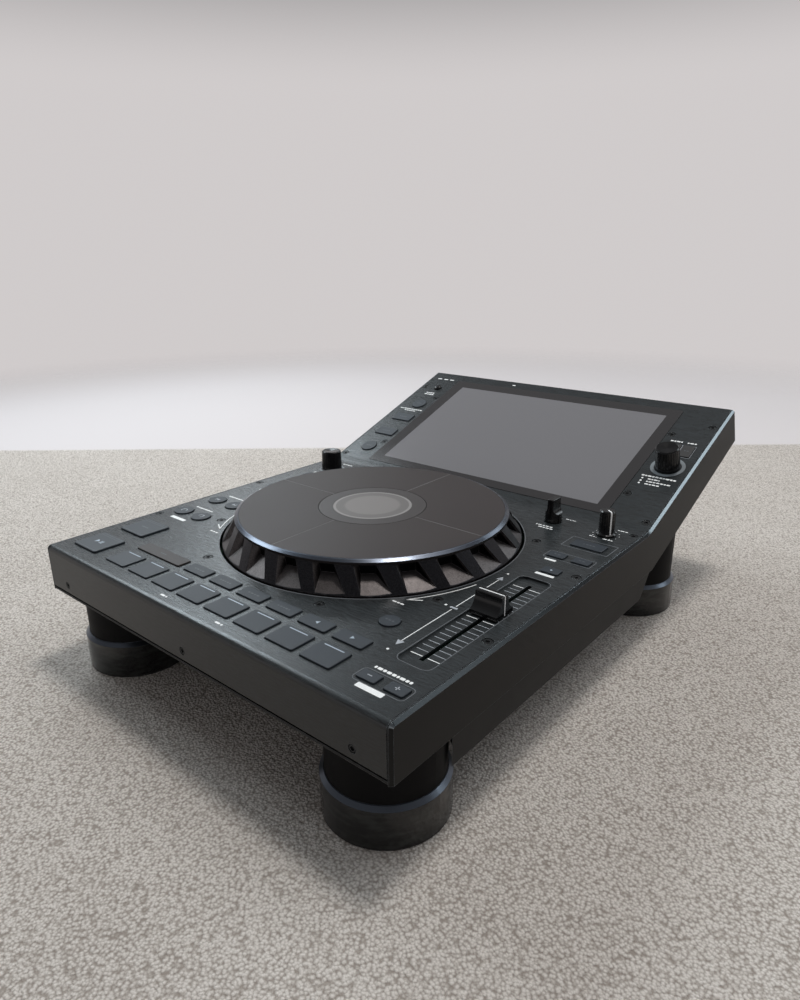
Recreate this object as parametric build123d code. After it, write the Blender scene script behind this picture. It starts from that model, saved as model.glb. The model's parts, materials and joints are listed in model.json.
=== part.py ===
from build123d import *
import os
from math import atan2, cos, degrees, radians, sin, tan

os.makedirs("parts", exist_ok=True)

# ------------------------------------------------------------------ overall sizes (mm, degrees)
width = 320.0            # over both side panels
flat_length = 285.5      # front face to the fold, along the flat deck
slope_length = 179.0     # fold to the rear edge, along the sloped deck
slope_angle = 20.0
deck_height = 89.3       # flat deck surface above the table
side_depth = 33.5        # side panel, deck surface to lower edge
rear_lean = 27.4         # rear wall from vertical, lower edge further back
rear_drop = 33.9         # rear wall, measured down its own slope
lower_fold_lag = 13.5    # the underside turns up this far behind the deck's fold

# sheet metal and panels
sheet = 1.5
front_bend = 4.0
fold_bend = 40.0
lower_bend = 6.0
face_height = 30.0       # front face, folded down from the deck
panel_thickness = 2.5
panel_chamfer = 1.7
panel_corner = 3.0
panel_gap = 0.4          # seam between deck and side panel
chassis_inset = 0.5      # underside and rear wall lie this far inside the side panels' edges
rear_seam = 0.15
cable_hole_x = 60.0      # opening in the chassis floor, for the leads of the supply board
cable_hole_y = 235.0
cable_hole_width = 40.0
cable_hole_length = 25.0
lip_setback = 0.3
flange_height = 14.0     # chassis flanges behind the front face and along the sides

# lower tray and feet
tray_inset = 5.0
tray_depth = 58.0
tray_front = 42.0
tray_rear_lead = 5.0     # tray floor ends this far before the underside turns up
tray_rear_corner = 8.0
tray_lean = 52.6         # rear wall of the tray from level
tray_notch_radius = 36.0
foot_inset = 38.5
front_foot_y = 39.8
rear_foot_lag = 67.3     # behind the deck's fold
foot_ring_radius = 36.0
foot_ring_height = 24.1
foot_ring_slope = 2.2
column_radius = 33.2
column_wall = 3.2
column_fit = 0.15
column_hollow_top = 42.0  # above the table
sole_thickness = 5.3

# platter and its centre post
platter_y = 166.0
platter_gap = 1.85
skirt_radius = 108.0
skirt_foot = 3.5         # skirt edge below the deck surface
skirt_top_radius = 98.2
rim_radius = 98.4
rim_base = 16.3
rim_height = 18.0
platter_height = 19.5
rim_inner_radius = 95.5
disc_fit = 0.2
disc_thickness = 1.2
web_thickness = 2.8
skirt_inner_radius = 91.0
bore_radius = 39.1
hub_wall = 3.9
hub_drop = 8.0
notch_count = 24
post_radius = 33.0
post_bore_radius = 26.0
post_foot_radius = 50.0
post_foot_thickness = 3.0
head_radius = 38.8
head_thickness = 4.5
hub_window_radius = 28.5
hub_display_radius = 26.7
window_fit = 0.2
bearing_height = 6.0
bearing_clearance = 0.1

# screen
glass_width = 242.6
glass_length = 157.2
glass_start = 9.5        # from the fold, along the slope
glass_corner = 2.0
glass_proud = 0.3
module_margin = 0.9      # display module behind the deck plate, past the glass
module_end = 156.5       # its rear end, from the fold
module_depth = 8.4
bracket_thickness = 1.6

# buttons
button_gap = 0.35
button_proud = 1.0
flange_lip = 1.0
flange_thickness = 1.0
flange_rest_gap = 0.2
stem_radius = 1.2
stem_insert = 1.2
switch_size = 6.2
switch_height = 5.0
switch_floor = 0.8
switch_clearance = 0.3
button_edge = 0.35
board_thickness = 1.6
board_room = 2.0         # free height over the tallest part of the main board
deck_board_drop = 14.4   # board surface below the deck surface
column_board_drop = 12.4

# knob shafts
shaft_radius = 3.0
shaft_clearance = 0.1
shaft_hole_radius = 3.5
bushing_radius = 4.6
encoder_size = 12.4
encoder_height = 6.5
shaft_floor = 2.0

# pitch fader
fader_inset = 24.4
recess_width = 21.4
recess_front = 43.5
recess_length = 124.5
recess_corner = 4.5
fader_slot_width = 3.0
fader_slot_front = 51.5
fader_slot_length = 108.8
fader_rest_y = 116.0
fader_plate_margin = 2.4
cap_width = 18.0
cap_length = 17.5
cap_crown = 6.6
cap_height = 12.0
cap_foot = 0.7           # cap edge below the deck surface
cap_skirt = 1.9
fader_stem_width = 1.6
fader_stem_length = 6.4
track_height = 9.4
track_width = 12.0
track_clearance = 0.4

# screws: larger heads in the deck, smaller ones in the front face
deck_head_radius = 3.1
face_head_radius = 2.3
screw_head_height = 1.0
screw_head_bevel = 0.35
screw_sink = 0.15
screw_shank_radius = 1.25
screw_shank_length = 5.5
screw_socket = 2.5       # across flats
screw_socket_depth = 0.8
thread_clearance = 0.05
counterbore_clearance = 0.25
pillar_radius = 3.0

# rear wall sockets, in the wall's own frame: x to the viewer's right, y up, z out of the wall
rear_board_drop = 25.2
rear_board_reach = 26.0
rear_leg_radius = 2.2
rear_leg_setback = 22.0  # inside the rear wall
nose_wall = 1.2
nose_clearance = 0.2

half = width / 2
rise = radians(slope_angle)
lean = radians(rear_lean)
rear_top = Vector(flat_length + slope_length * cos(rise), slope_length * sin(rise))
rear_bottom = rear_top + Vector(sin(lean), -cos(lean)) * rear_drop
depth = rear_bottom.X
deck_half = half - panel_thickness - panel_gap
lower_fold_y = flat_length + lower_fold_lag
tray_rear = lower_fold_y - tray_rear_lead
glass_middle = glass_start + glass_length / 2
fader_x = half - fader_inset
foot_x = half - foot_inset
rear_foot_y = flat_length + rear_foot_lag

# frames: the flat deck (y from the front face, z from its surface), the sloped deck, the rear wall
deck = Location((0, -depth / 2, deck_height))
slope = deck * Location((0, flat_length, 0), (slope_angle, 0, 0))
wall_plane = Plane(origin=(0, rear_top.X, rear_top.Y), x_dir=(-1, 0, 0), z_dir=(0, cos(lean), sin(lean)))
wall = deck * Location(wall_plane)


# ------------------------------------------------------------------ helpers
def keep(name, *pieces):
    """Write one named piece, or one named group of pieces, to its own file."""
    solids = [solid for piece in pieces for solid in piece.solids()]
    export_step(solids[0] if len(solids) == 1 else Compound(solids), f"parts/{name}.step")


def offset_path(points, distance):
    """Move an open line of points to its left by a distance, with mitred corners."""
    ways = [(b - a).normalized() for a, b in zip(points, points[1:])]
    lefts = [Vector(-way.Y, way.X) for way in ways]
    moved = [points[0] + lefts[0] * distance]
    for point, before, after in zip(points[1:], lefts, lefts[1:]):
        moved.append(point + (before + after) * (distance / (1 + before.dot(after))))
    return moved + [points[-1] + lefts[-1] * distance]


def sheet_section(points, thickness, radii):
    """Section of a folded sheet: points on one face, thickness to its left, radii on that face."""
    ways = [(b - a).normalized() for a, b in zip(points, points[1:])]
    turns = [a.X * b.Y - a.Y * b.X for a, b in zip(ways, ways[1:])]
    far_radii = [r - thickness if turn > 0 else r + thickness for r, turn in zip(radii, turns)]
    near = FilletPolyline(*points, radius=radii)
    far = FilletPolyline(*offset_path(points, thickness), radius=far_radii)
    ends = [Line(near @ 0, far @ 0), Line(near @ 1, far @ 1)]
    return make_face(near.edges() + far.edges() + ends[0].edges() + ends[1].edges())


def across(face, reach):
    """Extrude a side-view face to both sides of the middle plane."""
    return extrude(Plane.YZ * face, amount=reach, both=True)


def side_view(points, reach, radii=0.0):
    """Solid with a closed side-view outline, reaching the same distance to both sides."""
    return across(make_face(FilletPolyline(*points, radius=radii, close=True)), reach)


def turned(points):
    """Solid of revolution about Z from (radius, height) points."""
    return revolve(Plane.XZ * make_face(Polyline(*points, close=True)), Axis.Z)


def rod(radius, low, high):
    """Upright round bar between two heights."""
    return Pos(0, 0, low) * Cylinder(radius, high - low, align=(Align.CENTER, Align.CENTER, Align.MIN))


def block(size_x, size_y, low, high):
    """Upright block, centred, between two heights."""
    flat = (Align.CENTER, Align.CENTER, Align.MIN)
    return Pos(0, 0, low) * Box(size_x, size_y, high - low, align=flat)


def slab(outline, low, high):
    """Flat piece of a given outline between two heights."""
    return Pos(0, 0, low) * extrude(outline, amount=high - low)


# ------------------------------------------------------------------ controls
deck_cuts = []           # openings through the deck plate
deck_parts = []          # what stands on the deck board: switches, encoders
column_parts = []        # what stands on the boards beside the screen


def board_under(frame):
    """Height of the board under a frame's deck surface, and the list of what stands on it."""
    if frame is slope:
        return -column_board_drop, column_parts
    return -deck_board_drop, deck_parts


def switch(low):
    """Push switch on a board, with the well that its stem slides in."""
    body = block(switch_size, switch_size, low, low + switch_height)
    return body - rod(stem_radius + switch_clearance, low + switch_floor, low + switch_height)


def push_button(name, frame, x, y, outline, proud=button_proud, edge=button_edge, flange_outline=None):
    """Cap through the deck, its retaining flange below, and the stem that presses the switch."""
    board, parts = board_under(frame)
    flange_top = -sheet - flange_rest_gap
    cap = slab(outline, flange_top, proud)
    cap = fillet(cap.faces().sort_by(Axis.Z)[-1].edges(), edge)
    flange = slab(flange_outline or offset(outline, flange_lip), flange_top - flange_thickness, flange_top)
    stem = rod(stem_radius, board + switch_height - stem_insert, flange_top - flange_thickness)
    keep(name, frame * Pos(x, y, 0) * (cap + flange + stem))
    deck_cuts.append(frame * Pos(x, y, 0) * slab(offset(outline, button_gap), -2 * sheet, proud))
    parts.append(frame * Pos(x, y, 0) * switch(board))


def shaft_holder(frame, x, y):
    """Encoder or potentiometer under a knob: body on the board, bushing up to the deck."""
    board, parts = board_under(frame)
    body = block(encoder_size, encoder_size, board, board + encoder_height)
    body += rod(bushing_radius, board + encoder_height, -sheet - flange_rest_gap)
    body -= rod(shaft_radius + shaft_clearance, board + shaft_floor / 2, 0)
    parts.append(frame * Pos(x, y, 0) * body)
    deck_cuts.append(frame * Pos(x, y, 0) * rod(shaft_hole_radius, -2 * sheet, sheet))


def flutes(low_radius, high_radius, low, high, count, groove, bite):
    """Grooves up the side of a tapered knob, each cut in by the same bite."""
    taper = atan2(low_radius - high_radius, high - low)
    cutter = Pos(low_radius + groove - bite, 0, low) * Rot(0, -degrees(taper), 0)
    cutter *= rod(groove, 0, (high - low) / cos(taper))
    return [Rot(0, 0, 360 * i / count) * cutter for i in range(count)]


def turn_push_knob(knob_name, shaft_name, frame, x, y, foot_radius, top_radius, top, dish, count):
    """Ribbed knob that turns on a shaft, and the shaft that it pushes down."""
    place = frame * Pos(x, y, 0)
    foot, edge, roof = 1.0, 0.8, 3.0
    knob = turned([(0, foot), (foot_radius, foot), (foot_radius, foot + edge), (top_radius, top - edge),
                   (top_radius - edge, top), (top_radius - 2 * edge, top), (0, top - dish)])
    knob -= flutes(foot_radius, top_radius, foot + 2 * edge, top - 1.5 * edge, count, 0.55, 0.45)
    knob -= rod(shaft_radius + shaft_clearance, foot, top - roof)
    shaft = rod(shaft_radius, board_under(frame)[0] + shaft_floor, top - roof - 3 * shaft_clearance)
    keep(knob_name, place * knob)
    keep(shaft_name, place * shaft)
    shaft_holder(frame, x, y)


def oblong(size_x, size_y, corner=1.0):
    return RectangleRounded(size_x, size_y, corner)


# front rows
pad_x, pad_y, pad_pitch = 1.8, 22.5, 27.1
pad_places = [pad_x + (i - 3.5) * pad_pitch for i in range(8)]
second_row_y = 42.4
row_button = oblong(21.4, 10.2)
for number, x in enumerate(pad_places, start=1):
    push_button(f"pad_{number}", deck, x, pad_y, oblong(21.6, 17.4, 1.2))
shift_middle = (pad_places[0] + pad_places[1]) / 2
push_button("shift_button", deck, shift_middle, second_row_y, oblong(48.7, 10.2))
for number, x in enumerate(pad_places[2:6], start=1):
    push_button(f"mode_button_{number}", deck, x, second_row_y, row_button)
push_button("parameter_left_button", deck, pad_places[6], second_row_y, row_button)
push_button("parameter_right_button", deck, pad_places[7], second_row_y, row_button)

# left side of the flat deck
left_x = -(half - 27.3)
transport_button = oblong(28.0, 23.7, 1.5)
push_button("play_button", deck, left_x, 25.6, transport_button, 1.4, 0.5)
push_button("cue_button", deck, left_x, 61.2, transport_button, 1.4, 0.5)
round_button = Circle(7.5)
outer_x, inner_x = -(half - 17.2), -(half - 39.0)
push_button("beat_back_button", deck, outer_x, 102.0, round_button)
push_button("beat_forward_button", deck, inner_x, 102.0, round_button)
push_button("skip_back_button", deck, outer_x, 134.0, round_button)
push_button("skip_forward_button", deck, inner_x, 134.0, round_button)
push_button("loop_in_button", deck, left_x, 187.0, round_button)
push_button("loop_out_button", deck, left_x, 228.0, round_button)
loop_knob_y = flat_length - 29.5
turn_push_knob("loop_knob", "loop_shaft", deck, left_x, loop_knob_y, 9.15, 8.75, 18.0, 0.6, 28)

# right side of the flat deck
right_x = half - 23.5
bend_button = oblong(11.9, 7.7)
push_button("bend_down_button", deck, right_x - 9.2, 22.2, bend_button)
push_button("bend_up_button", deck, right_x + 8.4, 22.2, bend_button)
push_button("layer_button", deck, half - 60.8, 69.8, Circle(6.2))
small_button = oblong(12.2, 8.2)
push_button("deck_button_1", deck, right_x, 184.0, small_button)
push_button("deck_button_2", deck, right_x - 9.0, 208.7, small_button)
push_button("deck_button_3", deck, right_x + 8.8, 208.7, small_button)
push_button("wide_deck_button", deck, right_x + 0.3, 236.3, oblong(23.4, 11.6))

# either side of the screen
column_x = half - 23.5
column_round = Circle(7.6)
column_oblong = oblong(22.4, 11.7)
push_button("column_round_button_1", slope, -column_x, 28.5, column_round)
push_button("column_oblong_button_1", slope, -column_x, 56.5, column_oblong)
push_button("column_oblong_button_2", slope, -column_x, 85.0, column_oblong)
push_button("column_round_button_2", slope, -column_x, 113.0, column_round)
push_button("column_dome_button", slope, -column_x, 147.7, Circle(3.8), 2.2, 1.6)
select_x, select_s = half - 19.5, 82.0
turn_push_knob("select_knob", "select_shaft", slope, select_x, select_s, 9.5, 9.0, 19.0, 1.0, 28)
arrow_button = oblong(9.8, 16.3)
arrow_flange = oblong(10.5, 16.3 + 2 * flange_lip)
push_button("back_button", slope, half - 25.1, 106.5, arrow_button, flange_outline=arrow_flange)
push_button("forward_button", slope, half - 14.1, 106.5, arrow_button, flange_outline=arrow_flange)

# stop time knob: turns only, one piece with its spindle
stop_y = flat_length - 21.5
stop_knob = turned([(0, 0.5), (7.1, 0.5), (7.1, 1.5), (5.75, 2.3), (5.5, 18.0), (4.7, 18.8), (0, 18.8)])
stop_knob -= flutes(5.75, 5.5, 3.5, 17.0, 20, 0.45, 0.3)
stop_knob += rod(shaft_radius, shaft_floor - deck_board_drop, 0.5)
keep("stop_time_knob", deck * Pos(right_x, stop_y, 0) * stop_knob)
shaft_holder(deck, right_x, stop_y)

# direction lever: tapered round body, scooped on both sides to an upright blade
lever_x, lever_y = half - 66.5, flat_length - 20.5
lever_foot_radius, lever_top_radius, lever_foot, lever_top = 6.9, 5.8, 0.5, 18.0
blade_half, scoop_floor, scoop_radius = 2.5, 6.4, 4.5
lever = turned([
    (0, lever_foot), (lever_foot_radius, lever_foot), (lever_top_radius, lever_top), (0, lever_top)])
scoop_points = [Vector(blade_half, scoop_floor), Vector(2 * lever_foot_radius, scoop_floor + 1.0),
                Vector(2 * lever_foot_radius, 2 * lever_top), Vector(blade_half, 2 * lever_top)]
scoop = side_view(scoop_points, 2 * lever_foot_radius, [scoop_radius, 0, 0, 0])
lever -= [Rot(0, 0, side * 90) * scoop for side in (-1, 1)]
lever = fillet(lever.faces().sort_by(Axis.Z)[-1].edges(), 0.5)
lever += rod(shaft_radius, shaft_floor - deck_board_drop, lever_foot)
keep("direction_lever", deck * Pos(lever_x, lever_y, 0) * lever)
shaft_holder(deck, lever_x, lever_y)


# ------------------------------------------------------------------ pitch fader
def fader_cap():
    """Cap with hollow front and back slopes, a narrow crown, and the flat stem through the slot."""
    foot, crown = cap_length / 2, cap_crown / 2
    slope_points = [(-foot, cap_skirt), (-crown - 1.6, cap_height * 0.42), (-crown, cap_height)]
    rise_arc = ThreePointArc(*slope_points)
    fall_arc = ThreePointArc(*[(-y, z) for y, z in slope_points])
    base = Polyline((-foot, cap_skirt), (-foot, -cap_foot), (foot, -cap_foot), (foot, cap_skirt))
    crown_line = Line(rise_arc @ 1, fall_arc @ 1)
    section = make_face(base.edges() + [rise_arc.edge(), fall_arc.edge(), crown_line.edge()])
    cap = across(section, cap_width / 2)
    cap = fillet(cap.faces().sort_by(Axis.Z)[-1].edges(), 0.6)
    stem = block(fader_stem_width, fader_stem_length, stem_low, -cap_foot)
    return cap + stem


track_low = -deck_board_drop
stem_low = track_low + 3.0
slot_middle = fader_slot_front + fader_slot_length / 2
recess = RectangleRounded(recess_width, recess_length, recess_corner)
recess_place = deck * Pos(fader_x, recess_front + recess_length / 2, 0)
slot_place = deck * Pos(fader_x, slot_middle, 0)
deck_cuts.append(recess_place * slab(recess, -2 * sheet, sheet))
fader_plate = recess_place * slab(offset(recess, fader_plate_margin), -2 * sheet, -sheet)
fader_plate -= slot_place * block(fader_slot_width, fader_slot_length, -3 * sheet, 0)
keep("fader_plate", fader_plate)
keep("fader_cap", deck * Pos(fader_x, fader_rest_y, 0) * fader_cap())
track = block(track_width, fader_slot_length + 8, track_low, track_low + track_height)
channel_width = fader_stem_width + 2 * track_clearance
track -= block(channel_width, fader_slot_length + 1, track_low + 2.0, track_low + track_height)
deck_parts.append(slot_place * track)


# ------------------------------------------------------------------ platter, on its centre post
def notch():
    """Cutter for one finger notch, in its own frame: narrow and high inside, wide and low outside."""
    inner_u, inner_low = 95.0, 9.3
    inner = [(-6.0, inner_low), (3.2, inner_low), (3.2, rim_base), (-7.6, rim_base)]
    surface = [(-5.8, 108.0, 0.5), (13.9, 108.0, 0.5), (3.5, 98.0, rim_base), (-10.8, 98.0, rim_base)]
    reach = 1.3
    near = [Vector(inner_u, v, z) for v, z in inner]
    far = [a + (Vector(u, v, z) - a) * reach for a, (v, u, z) in zip(near, surface)]
    return loft([make_face(Polyline(*near, close=True)), make_face(Polyline(*far, close=True))], ruled=True)


notch_middle = 11.2
seat = platter_height - disc_thickness
hub_radius = bore_radius + hub_wall
platter_place = deck * Pos(0, platter_y, 0)
platter_ring = turned([
    (bore_radius, -hub_drop), (hub_radius, -hub_drop), (hub_radius, seat - web_thickness),
    (skirt_inner_radius, seat - web_thickness), (skirt_inner_radius + 1, -skirt_foot),
    (skirt_radius, -skirt_foot), (skirt_radius, 0.3), (skirt_top_radius, rim_base),
    (rim_radius, rim_base), (rim_radius, rim_height), (rim_inner_radius, platter_height),
    (rim_inner_radius, seat), (bore_radius, seat)])
cutter = notch()
notch_pitch = 360 / notch_count
platter_ring -= [Rot(0, 0, notch_middle + notch_pitch * i) * cutter for i in range(notch_count)]
keep("platter_ring", platter_place * platter_ring)

disc_inner = bore_radius + disc_fit
disc_outer = rim_inner_radius - disc_fit
platter_disc = rod(disc_outer, seat, platter_height) - rod(disc_inner, seat, platter_height)
line_length, line_depth = disc_outer - disc_inner + 4, 0.15
radial_line = Pos((disc_outer + disc_inner) / 2, 0, 0) * block(line_length, 0.5, platter_height - line_depth,
                                                             platter_height)
platter_disc -= [Rot(0, 0, 90 * i) * radial_line for i in range(4)]
keep("platter_disc", platter_place * platter_disc)

floor_top = -side_depth + chassis_inset + sheet
head_low = platter_height - head_thickness
window_seat = platter_height - 1.2
display_seat = window_seat - 4.0
post = turned([
    (post_bore_radius, floor_top), (post_foot_radius, floor_top),
    (post_foot_radius, floor_top + post_foot_thickness), (post_radius, floor_top + post_foot_thickness),
    (post_radius, head_low), (head_radius, head_low), (head_radius, platter_height),
    (hub_window_radius + window_fit, platter_height), (hub_window_radius + window_fit, window_seat),
    (hub_display_radius + window_fit, window_seat), (hub_display_radius + window_fit, display_seat),
    (post_bore_radius, display_seat)])
bearing = turned([(post_radius + 0.05, 0), (bore_radius - bearing_clearance, 0),
                  (bore_radius - bearing_clearance, bearing_height), (post_radius + 0.05, bearing_height)])
keep("centre_post", platter_place * post, platter_place * Pos(0, 0, -hub_drop + 1) * bearing,
     platter_place * Pos(0, 0, seat - web_thickness - bearing_height - 2) * bearing)
deck_cuts.append(platter_place * rod(skirt_radius + platter_gap, -2 * sheet, sheet))

# ------------------------------------------------------------------ windows and display panels
glass_outline = oblong(glass_width, glass_length, glass_corner)
glass_place = slope * Pos(0, glass_middle, 0)
screen_glass = glass_place * slab(glass_outline, -sheet, glass_proud)
hub_window = platter_place * rod(hub_window_radius, window_seat, platter_height - 0.05)
keep("windows", screen_glass, hub_window)
deck_cuts.append(glass_place * slab(offset(glass_outline, window_fit), -2 * sheet, sheet))

module_width = glass_width + 2 * module_margin
module_length = module_end - glass_start + module_margin
module_low = -sheet - module_depth
module_place = slope * Pos(0, module_end - module_length / 2, 0)
display_module = module_place * block(module_width, module_length, module_low, -sheet)
hub_display = platter_place * rod(hub_display_radius, display_seat, window_seat - 0.1)

# ------------------------------------------------------------------ screws and what they go into
side_screw_x = half - 7.2
board_pillars = [(53.6, 59.7), (103.6, 108.1), (103.6, 222.6)]
chassis_pillars = [(side_screw_x, 86.5), (side_screw_x, 186.5), (side_screw_x, flat_length - 11.5)]
bracket_pillars = [(glass_width / 2 + 4.3, 39.6), (glass_width / 2 + 4.3, 128.2)]
slope_pillars = [(side_screw_x, 10.6), (side_screw_x, 147.0)]
face_screw_x, face_screw_z = half - 24.3, -24.0


def both_sides(places):
    return [(side * x, y) for x, y in places for side in (-1, 1)]


def screw(head_radius):
    """Socket-head screw, its head just under the surface at height 0."""
    head = rod(head_radius, -screw_sink - screw_head_height, -screw_sink)
    head = chamfer(head.faces().sort_by(Axis.Z)[-1].edges(), screw_head_bevel)
    head -= slab(RegularPolygon(screw_socket / 2, 6, major_radius=False), -screw_sink - screw_socket_depth, 0)
    return head + rod(screw_shank_radius, -screw_shank_length, -screw_sink - screw_head_height)


def counterbore(head_radius):
    """Hole through the deck sheet for a screw and its head."""
    head_hole = rod(head_radius + counterbore_clearance, -screw_sink - screw_head_height, sheet)
    return head_hole + rod(thread_radius, -2 * sheet, 0)


thread_radius = screw_shank_radius + thread_clearance
thread_hole = rod(thread_radius, -screw_shank_length - sheet, 0)
flat_screws = [deck * Pos(x, y, 0) for x, y in both_sides(board_pillars + chassis_pillars)]
slope_screws = [slope * Pos(x, s, 0) for x, s in both_sides(bracket_pillars + slope_pillars)]
face_screws = [deck * Pos(x, 0, face_screw_z) * Rot(90, 0, 0) for x in (-face_screw_x, 0, face_screw_x)]
foot_places = [(side * foot_x, y) for y in (front_foot_y, rear_foot_y) for side in (-1, 1)]
screw_places = [(place, deck_head_radius) for place in flat_screws + slope_screws]
screw_places += [(place, face_head_radius) for place in face_screws]

# ------------------------------------------------------------------ deck plate and side panels
deck_line = [Vector(0, -face_height), Vector(0, 0), Vector(flat_length, 0), rear_top]
top_plate = deck * across(sheet_section(deck_line, -sheet, [front_bend, fold_bend]), deck_half)
top_plate -= deck_cuts
top_plate -= [place * counterbore(head_radius) for place, head_radius in screw_places]
keep("top_plate", top_plate)

under_line = [Vector(0, -side_depth), Vector(lower_fold_y, -side_depth), rear_bottom, rear_top]
side_outline = make_face(FilletPolyline(*under_line, Vector(flat_length, 0), Vector(0, 0), close=True,
                                        radius=[0, lower_bend, 0, 0, fold_bend, panel_corner]))
side_panel = extrude(Plane.YZ * side_outline, amount=panel_thickness)
outer_face = side_panel.faces().sort_by(Axis.X)[-1]
rear_edge_y = rear_top.X - 1


def on_top_edge(edge):
    """True for the outer face's edges up the front and along the deck."""
    middle = edge @ 0.5
    line_z = max(0.0, (middle.Y - flat_length) * tan(rise))
    return (middle.Y < 0.1 or middle.Z > line_z - panel_corner) and middle.Y < rear_edge_y


side_panel = chamfer([edge for edge in outer_face.edges() if on_top_edge(edge)], panel_chamfer)
side_panel = Pos(half - panel_thickness, 0, 0) * side_panel
keep("side_panel_right", deck * side_panel)
keep("side_panel_left", deck * mirror(side_panel, about=Plane.YZ))


# ---------------------------------------------------------------- chassis: floor, sloped underside, rear wall
def under_points(inset):
    """Line of the underside and the rear wall, moved inwards."""
    start = Vector(lip_setback, -side_depth)
    top_end = rear_top + (rear_bottom - rear_top).normalized() * ((sheet + rear_seam) / cos(lean - rise))
    return offset_path([start, *under_line[1:3], top_end], inset)


chassis_line = under_points(chassis_inset)
chassis = across(sheet_section(chassis_line, sheet, [lower_bend + sheet, 2 * sheet]), deck_half)
mid_sheet = under_points(chassis_inset + sheet / 2)
hollow = side_view([*mid_sheet, Vector(sheet, mid_sheet[-1].Y), Vector(sheet, mid_sheet[0].Y)], deck_half)
flange_middle = floor_top + flange_height / 2 - sheet / 2
flange_size = flange_height + sheet
front_flange = Pos(0, 1.5 * sheet, flange_middle) * Box(2 * deck_half, sheet, flange_size)
side_run = lower_fold_y - lower_bend - 4 * sheet
side_flange = Pos(half - panel_thickness - sheet / 2, 2 * sheet + side_run / 2, flange_middle)
side_flange *= Box(sheet, side_run, flange_size)
chassis += front_flange + side_flange + mirror(side_flange, about=Plane.YZ)
flat_pillar = rod(pillar_radius, floor_top - sheet / 2, -sheet)
slope_pillar = rod(pillar_radius, -side_depth - 5, -sheet)
unplaced = deck.inverse()
chassis += [Pos(x, y, 0) * flat_pillar for x, y in both_sides(chassis_pillars)]
chassis += [(unplaced * slope * Pos(x, s, 0) * slope_pillar) & hollow for x, s in both_sides(slope_pillars)]
chassis = deck * chassis
chassis -= [place * thread_hole for place, _ in screw_places]
cable_hole = Box(cable_hole_width, cable_hole_length, 3 * sheet)
chassis -= deck * Pos(cable_hole_x, cable_hole_y, floor_top) * cable_hole

# ------------------------------------------------------------------ lower tray
tray_top = under_points(chassis_inset)
tray_rise = (tray_top[2].Y - tray_top[1].Y) / (tray_top[2].X - tray_top[1].X)
steep = tan(radians(tray_lean))
meet_y = (tray_rear * steep + tray_top[1].Y + tray_depth - tray_rise * tray_top[1].X) / (steep - tray_rise)
meet = Vector(meet_y, tray_top[1].Y + tray_rise * (meet_y - tray_top[1].X))


def tray_block(wall_in, raise_by=0.0):
    """Tray outline as a block, moved in by a wall on every side but the top."""
    slant = wall_in * (1 - cos(radians(tray_lean))) / sin(radians(tray_lean))
    shift = wall_in / sin(radians(tray_lean))
    points = [Vector(tray_front + wall_in, tray_top[0].Y + raise_by),
              Vector(tray_front + wall_in, -tray_depth + wall_in),
              Vector(tray_rear - slant, -tray_depth + wall_in),
              Vector(meet.X - shift + raise_by / steep, meet.Y + raise_by),
              Vector(tray_top[1].X, tray_top[1].Y + raise_by)]
    radii = [0, 2.5, tray_rear_corner - wall_in, 0, 0]
    return side_view(points, half - tray_inset - wall_in, radii)


def tray_notches(radius):
    return [Pos(x, front_foot_y, 0) * rod(radius, -2 * tray_depth, 0) for x in (-foot_x, foot_x)]


tray_cavity = tray_block(sheet, 2.0) - tray_notches(tray_notch_radius + sheet)
lower_tray = tray_block(0) - tray_notches(tray_notch_radius) - tray_cavity
keep("lower_tray", deck * lower_tray)

# ------------------------------------------------------------------ feet: column and ring each
below = [*tray_top[:3], Vector(tray_top[2].X, -deck_height), Vector(tray_top[0].X, -deck_height)]
under_space = side_view([below[0] - Vector(10, 0), *below[1:4], below[4] - Vector(10, 0)], half)
column = rod(column_radius, sole_thickness - deck_height, rear_top.Y)
column -= rod(column_radius - column_wall, sole_thickness - deck_height, column_hollow_top - deck_height)
ring_bore = column_radius + column_fit
foot_ring = turned([
    (0, 0.8), (28.0, 0.8), (28.0, 0), (foot_ring_radius - 0.6, 0), (foot_ring_radius, 0.6),
    (foot_ring_radius, foot_ring_height), (ring_bore + 0.2, foot_ring_height + foot_ring_slope),
    (ring_bore, foot_ring_height + foot_ring_slope), (ring_bore, sole_thickness), (0, sole_thickness)])
columns = [deck * ((Pos(x, y, 0) * column) & under_space) for x, y in foot_places]
foot_rings = [deck * Pos(x, y, -deck_height) * foot_ring for x, y in foot_places]
keep("feet", *columns, *foot_rings)

# ------------------------------------------------------------------ rear wall: sockets and power button
wall_inner = -chassis_inset - sheet
board_top = -rear_board_drop
wall_cuts = []
socket_parts = []


def socket(x, body_width, body_height, body_depth, hole_width, hole_height, hole_depth, hole_y):
    """Box socket on the rear board: its nose fills a cut in the wall, its hollow opens outwards."""
    place = wall * Pos(x, board_top, 0)
    body = Pos(0, body_height / 2, wall_inner - body_depth / 2) * Box(body_width, body_height, body_depth)
    nose = oblong(hole_width + 2 * nose_wall, hole_height + 2 * nose_wall, 1.0)
    body += Pos(0, hole_y, 0) * slab(nose, wall_inner, 0)
    body -= Pos(0, hole_y, 0) * slab(oblong(hole_width, hole_height, 0.6), -chassis_inset - hole_depth, sheet)
    wall_cuts.append(place * Pos(0, hole_y, 0) * slab(offset(nose, nose_clearance), 2 * wall_inner, sheet))
    return place, body


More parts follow.
